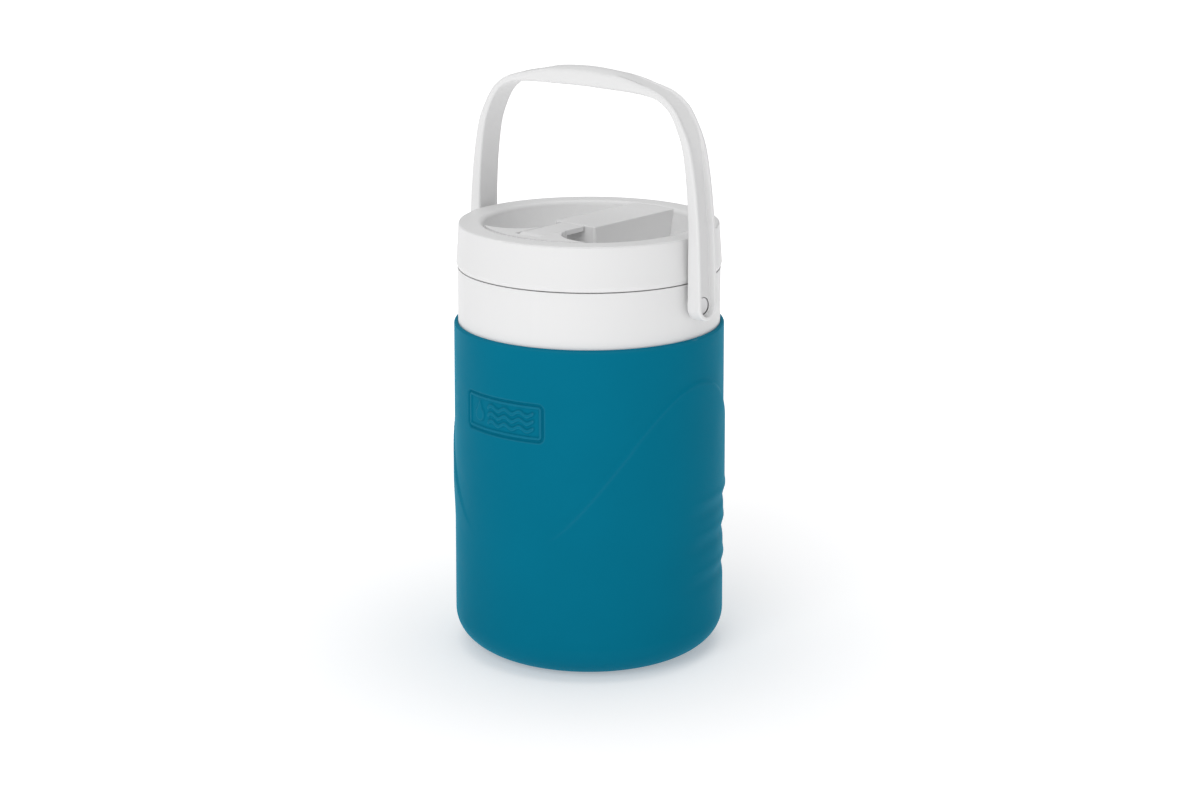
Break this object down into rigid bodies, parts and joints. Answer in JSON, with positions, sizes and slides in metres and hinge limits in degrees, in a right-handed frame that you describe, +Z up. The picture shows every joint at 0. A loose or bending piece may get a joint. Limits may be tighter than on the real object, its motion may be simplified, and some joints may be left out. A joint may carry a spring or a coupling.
{
  "type": "insulated drinks jug",
  "caption": "Insulated drinks jug with a swinging bail handle, a screw lid with a grip block, and a fold-down flip spout.",
  "frame": {"origin": "middle of the base, on the surface the jug stands on", "axes": "+Z up along the jug's axis; -Y is the front with the badge and the spout; X runs through the two handle pivots, +X to the right seen from the front"},
  "size_m": [0.1742, 0.1594, 0.343],
  "materials": {
    "blue_body": "satin moulded polyethylene, teal blue",
    "white_plastic": "satin moulded polypropylene, white",
    "handle_plastic": "satin moulded polypropylene, white",
    "lid_plastic": "satin moulded polypropylene, white",
    "spout_plastic": "satin moulded polypropylene, white",
    "pin_plastic": "satin moulded plastic, white",
    "liner_plastic": "smooth food-safe polyethylene, off-white",
    "seal_silicone": "soft translucent grey silicone",
    "insulation_foam": "rigid polyurethane foam"
  },
  "bodies": {
    "jug": {"outer_shell": "blue_body", "foam_fill_plug": "white_plastic", "body_foam": "insulation_foam", "inner_liner": "liner_plastic", "collar": "white_plastic", "pivot_pin_right": "pin_plastic", "pivot_pin_left": "pin_plastic"},
    "handle": {"handle": "handle_plastic"},
    "lid_carrier": {"lid_gasket": "seal_silicone"},
    "lid": {"lid_shell": "lid_plastic", "lid_liner": "liner_plastic", "lid_foam": "insulation_foam", "spout_seal": "seal_silicone"},
    "spout": {"flip_spout": "spout_plastic"}
  },
  "joints": [
    {"name": "handle_swing", "type": "hinge", "parent": "jug", "child": "handle", "pos_m": [0, 0, 0.216], "axis": [1, 0, 0], "range_deg": [-125, 125]},
    {"name": "lid_rise", "type": "slide", "parent": "jug", "child": "lid_carrier", "axis": [0, 0, 1], "range_m": [0, 0.024]},
    {"name": "lid_turn", "type": "hinge", "parent": "lid_carrier", "child": "lid", "pos_m": [0, 0, 0.246], "axis": [0, 0, 1], "range_deg": [0, 720]},
    {"name": "spout_flip", "type": "hinge", "parent": "lid", "child": "spout", "pos_m": [0, -0.048, 0.2475], "axis": [1, 0, 0], "range_deg": [0, 90]}
  ],
  "couplings": [
    {"joint": "lid_rise", "follows": "lid_turn", "m_per_rad": 0.0019099}
  ]
}
